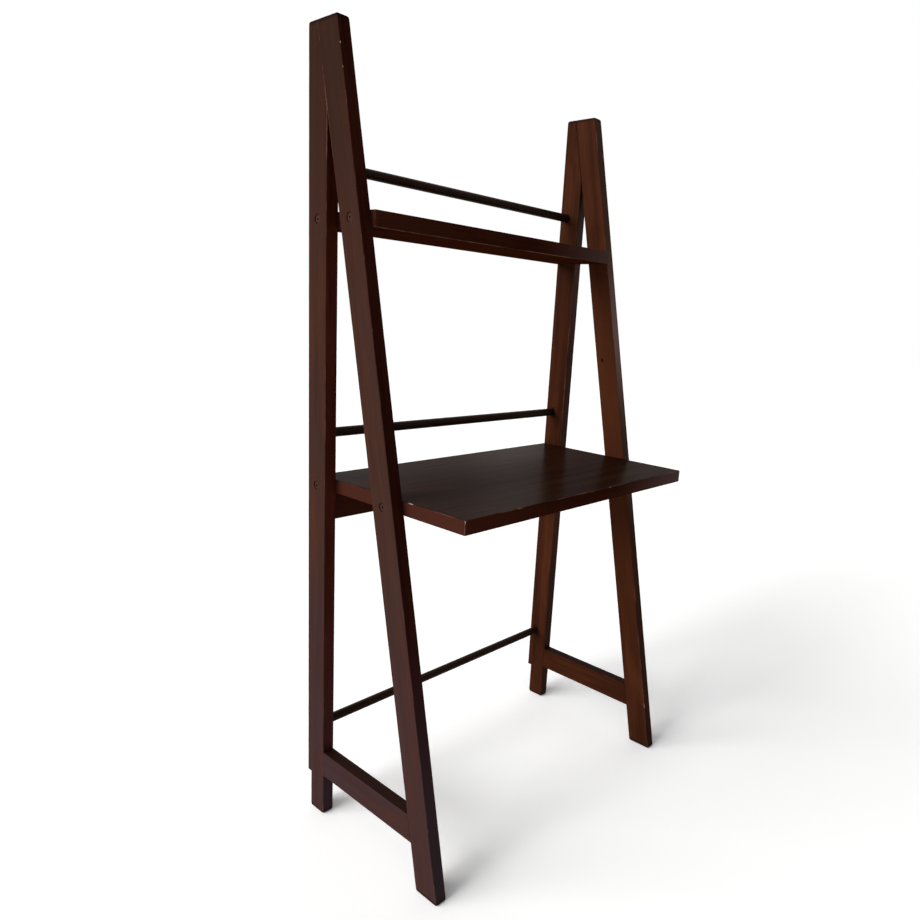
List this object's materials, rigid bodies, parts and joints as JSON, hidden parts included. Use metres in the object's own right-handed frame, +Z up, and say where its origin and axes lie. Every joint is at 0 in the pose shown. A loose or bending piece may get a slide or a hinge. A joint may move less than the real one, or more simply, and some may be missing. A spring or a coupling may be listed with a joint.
{
  "type": "ladder desk",
  "caption": "Free-standing wooden ladder desk: raked A-shaped side frames carry a deep writing board, a shallow upper shelf and slim rear rods.",
  "frame": {"origin": "on the floor, at the middle of the footprint", "axes": "+Z up, +X to the right as the sitter faces the desk, -Y towards the sitter, +Y towards the wall"},
  "size_m": [0.762, 0.4068, 1.524],
  "materials": {
    "frame_wood": "dark espresso stain under satin lacquer, worn edges",
    "board_wood": "dark espresso stain under satin lacquer, fine grain",
    "rod_metal": "matt dark bronze paint",
    "bolt_steel": "dark bronze plated steel",
    "nut_steel": "zinc plated steel",
    "spline_wood": "bare beech"
  },
  "bodies": {
    "root": {"left_front_leg": "frame_wood", "left_rear_leg": "frame_wood", "left_foot_rail": "frame_wood", "right_front_leg": "frame_wood", "right_rear_leg": "frame_wood", "right_foot_rail": "frame_wood", "desk_top": "board_wood", "shelf_board": "board_wood", "desk_rear_apron": "board_wood", "upper_rod": "rod_metal", "middle_rod": "rod_metal", "lower_rod": "rod_metal", "left_desk_bolts": "bolt_steel", "right_desk_bolts": "bolt_steel", "left_shelf_bolts": "bolt_steel", "right_shelf_bolts": "bolt_steel", "desk_barrel_nuts": "nut_steel", "shelf_barrel_nuts": "nut_steel", "left_apex_spline": "spline_wood", "right_apex_spline": "spline_wood"}
  },
  "joints": []
}
